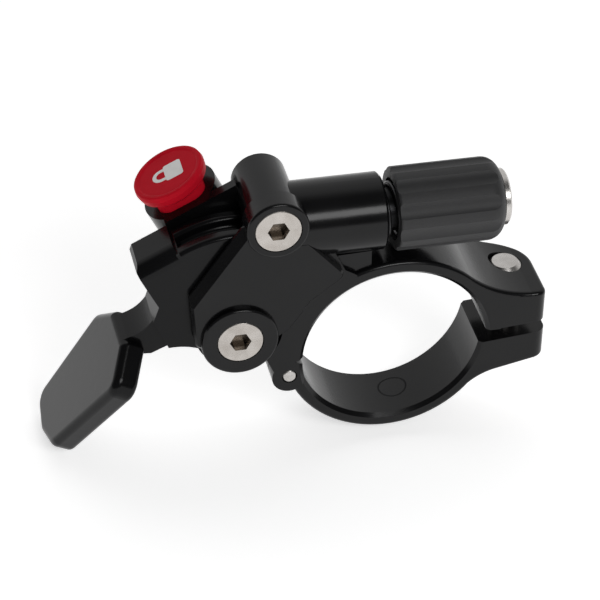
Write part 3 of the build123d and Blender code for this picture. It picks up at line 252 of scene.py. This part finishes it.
def red_enamel():
    """Glossy red of the button."""
    material, nodes, links, shader, place = new_material("red_enamel")
    patches = noise(nodes, links, place, 400)
    coat(nodes, links, shader, patches, (0.54, 0.006, 0.018), (0.60, 0.008, 0.022), 0.36, 0.44)
    shader.inputs["Specular IOR Level"].default_value = 0.03
    bump(nodes, links, shader, noise(nodes, links, place, 1500), 0.000008)
    return material


def print_white():
    """White print on the button."""
    material, nodes, links, shader, place = new_material("print_white")
    patches = noise(nodes, links, place, 900)
    coat(nodes, links, shader, patches, (0.80, 0.79, 0.77), (0.88, 0.87, 0.86), 0.4, 0.5)
    return material


def bearing_plastic():
    """Pale plastic of the thrust washers."""
    material, nodes, links, shader, place = new_material("bearing_plastic")
    patches = noise(nodes, links, place, 700)
    coat(nodes, links, shader, patches, (0.66, 0.65, 0.6), (0.72, 0.71, 0.67), 0.4, 0.5)
    return material


def metal(name, low, high, rough_low, rough_high):
    """Bare metal with a fine machined grain."""
    material, nodes, links, shader, place = new_material(name)
    patches = noise(nodes, links, place, 700)
    grain = noise(nodes, links, place, 5500, detail=4)
    links.new(tint(nodes, links, patches, low, high), shader.inputs["Base Color"])
    links.new(spread(nodes, links, grain, rough_low, rough_high), shader.inputs["Roughness"])
    shader.inputs["Metallic"].default_value = 1
    bump(nodes, links, shader, grain, GRAIN_DEPTH)
    return material


def steel_with_painted_socket_shade(name, node):
    """Bright screw whose socket, deeper than its face, is darkened with painted shade."""
    material = metal(name, *SCREW_STEEL)
    nodes = material.node_tree.nodes
    links = material.node_tree.links
    shader = nodes["Principled BSDF"]
    place = nodes["Texture Coordinate"]
    inward = node.matrix_world.inverted().to_3x3() @ Vector((0, 1, 0))
    face = min(vertex.co.dot(inward) for vertex in node.data.vertices)
    depth = nodes.new("ShaderNodeVectorMath")
    depth.operation = "DOT_PRODUCT"
    depth.inputs[1].default_value = inward
    links.new(place.outputs["Object"], depth.inputs[0])
    shade = nodes.new("ShaderNodeMapRange")
    shade.inputs["From Min"].default_value = face + SOCKET_SHADE_START * MM
    shade.inputs["From Max"].default_value = face + SOCKET_SHADE_FULL * MM
    links.new(depth.outputs["Value"], shade.inputs["Value"])
    # Painted shade: the base colour is mixed towards a dark tone deeper in the socket
    painted_shade_mix = nodes.new("ShaderNodeMixRGB")
    painted_shade_mix.inputs["Color2"].default_value = SOCKET_PAINTED_SHADE
    links.new(shade.outputs["Result"], painted_shade_mix.inputs["Fac"])
    links.new(shader.inputs["Base Color"].links[0].from_socket, painted_shade_mix.inputs["Color1"])
    links.new(painted_shade_mix.outputs["Color"], shader.inputs["Base Color"])
    return material


def dress_nodes():
    """Gives each CAD node its own material, or else that of its slot in the record."""
    looks = {name: metal(name, *look) for name, look in METALS.items()}
    looks["casting"] = black_paint("black_paint")
    looks["bearing_plastic"] = bearing_plastic()
    looks["red_button"] = red_enamel()
    looks["knob_rubber"] = knob_rubber()
    slots = {part["node"]: part["material_slot"] for part in frame["record"]["subparts"]}
    mark = frame["nodes"]["clamp_strap"].matrix_world.inverted() @ MARK_PLACE
    special = {
        "adjuster_spring": metal("dark_spring_steel", *DARK_SPRING),
        "clamp_strap": black_paint("black_paint_marked", mark),
        "thumb_lever": black_paint("black_paint_lever", shine=LEVER_SHINE),
    }
    # The front screws get painted shade in their sockets
    for name in ("pivot_screw", "cover_screw"):
        special[name] = steel_with_painted_socket_shade(f"{name}_steel", frame["nodes"][name])
    for name, node in frame["nodes"].items():
        look = special.get(name, looks[slots[name]])
        if not node.material_slots:
            node.data.materials.append(look)
        for slot in node.material_slots:
            slot.material = look


def ring_of(centre, radius, start, end, count):
    """Points on an arc of the print's own plane, angles in degrees."""
    spots = []
    for step in range(count + 1):
        turn = math.radians(start + (end - start) * step / count)
        spots.append((centre[0] + radius * math.cos(turn), centre[1] + radius * math.sin(turn)))
    return spots


def rounded_box(left, low, right, high, radius):
    """Corner points of a rectangle with rounded corners, counterclockwise."""
    centres = (
        (right - radius, low + radius),
        (right - radius, high - radius),
        (left + radius, high - radius),
        (left + radius, low + radius),
    )
    spots = []
    for quarter, centre in enumerate(centres):
        start = 90 * (quarter - 1)
        spots += ring_of(centre, radius, start, start + 90, CORNER_STEPS)
    return spots


def padlock_outlines():
    """The closed outlines of the padlock's body and of its shackle."""
    body = rounded_box(-LOCK_HALF_WIDTH, LOCK_LOW, LOCK_HALF_WIDTH, LOCK_HIGH, LOCK_CORNER)
    outer = ring_of((0, SHACKLE_BEND), SHACKLE_OUTER, 0, 180, SHACKLE_STEPS)
    inner = ring_of((0, SHACKLE_BEND), SHACKLE_INNER, 180, 0, SHACKLE_STEPS)
    shackle = [(SHACKLE_OUTER, SHACKLE_FOOT)] + outer
    shackle += [(-SHACKLE_OUTER, SHACKLE_FOOT), (-SHACKLE_INNER, SHACKLE_FOOT)] + inner
    shackle += [(SHACKLE_INNER, SHACKLE_FOOT)]
    return body, shackle


def add_padlock():
    """A plain padlock printed in white on the button, low enough to stay under its rim."""
    tilt = math.radians(BUTTON_TILT)
    axis = Vector((-math.sin(tilt), 0, math.cos(tilt)))
    side = Vector((0, 1, 0))
    upward = Vector((-math.cos(tilt), 0, -math.sin(tilt)))
    button = frame["nodes"]["release_button"]
    points = [button.matrix_world @ vertex.co for vertex in button.data.vertices]
    top = max(point.dot(axis) for point in points)
    rim = [point for point in points if point.dot(axis) > top - RIM_BAND * MM]
    across = [point.dot(side) for point in rim]
    along = [point.dot(upward) for point in rim]
    middle_across = (min(across) + max(across)) / 2
    middle_along = (min(along) + max(along)) / 2
    level = top - PRINT_DEPTH * MM
    centre = axis * level + side * middle_across + upward * middle_along
    shape = bmesh.new()
    for outline in padlock_outlines():
        corners = []
        for x, y in outline:
            corners.append(shape.verts.new(centre + side * (x * MM) + upward * (y * MM)))
        face = shape.faces.new(corners)
        grown = bmesh.ops.extrude_face_region(shape, geom=[face])
        lifted = [item for item in grown["geom"] if isinstance(item, bmesh.types.BMVert)]
        bmesh.ops.translate(shape, verts=lifted, vec=axis * (PRINT_THICKNESS * MM))
    bmesh.ops.recalc_face_normals(shape, faces=shape.faces)
    mesh = bpy.data.meshes.new("button_print")
    shape.to_mesh(mesh)
    shape.free()
    mesh.materials.append(print_white())
    piece = bpy.data.objects.new("button_print", mesh)
    scene.collection.objects.link(piece)
    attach(piece, "button")


def add_surroundings():
    """A studio with a white backdrop behind the part and dark walls elsewhere."""
    world = bpy.data.worlds.new("studio")
    world.use_nodes = True
    nodes = world.node_tree.nodes
    links = world.node_tree.links
    place = nodes.new("ShaderNodeTexCoord")
    facing = nodes.new("ShaderNodeVectorMath")
    facing.operation = "DOT_PRODUCT"
    facing.inputs[1].default_value = BACKDROP_WAY
    links.new(place.outputs["Generated"], facing.inputs[0])
    level = nodes.new("ShaderNodeMapRange")
    level.interpolation_type = "SMOOTHSTEP"
    level.inputs["From Min"].default_value = BACKDROP_EDGES[0]
    level.inputs["From Max"].default_value = BACKDROP_EDGES[1]
    level.inputs["To Min"].default_value = DARK_WALL
    level.inputs["To Max"].default_value = BACKDROP
    links.new(facing.outputs["Value"], level.inputs["Value"])
    background = nodes["Background"]
    background.inputs["Color"].default_value = (1, 1, 1, 1)
    links.new(level.outputs["Result"], background.inputs["Strength"])
    scene.world = world


def add_floor():
    """A pale floor that glows a little, as a lit table does."""
    half = FLOOR_HALF
    level = cad_box[0][2] - FLOOR_GAP * MM
    corners = [(x, y, level) for x, y in ((-half, -half), (half, -half), (half, half), (-half, half))]
    mesh = bpy.data.meshes.new("floor")
    mesh.from_pydata(corners, [], [(0, 1, 2, 3)])
    floor = bpy.data.objects.new("floor", mesh)
    scene.collection.objects.link(floor)
    material, nodes, links, shader, place = new_material("floor_white")
    patches = noise(nodes, links, place, 4)
    shade = tint(nodes, links, patches, (0.93, 0.93, 0.93), (0.95, 0.95, 0.95))
    links.new(shade, shader.inputs["Base Color"])
    shader.inputs["Roughness"].default_value = 0.9
    shader.inputs["Emission Color"].default_value = (1, 1, 1, 1)
    shader.inputs["Emission Strength"].default_value = FLOOR_GLOW
    mesh.materials.append(material)


def add_front_light():
    """One large soft light that points at the part."""
    data = bpy.data.lights.new("front_light", "AREA")
    data.shape = "RECTANGLE"
    data.size = LIGHT_WIDE * MM
    data.size_y = LIGHT_HIGH * MM
    data.energy = LIGHT_POWER
    light = bpy.data.objects.new("front_light", data)
    light.location = LIGHT_PLACE * MM
    direction = (LIGHT_AIM - LIGHT_PLACE).normalized()
    light.rotation_euler = direction.to_track_quat("-Z", "Y").to_euler()
    scene.collection.objects.link(light)


add_camera()
dress_nodes()
add_padlock()
add_surroundings()
add_floor()
add_front_light()
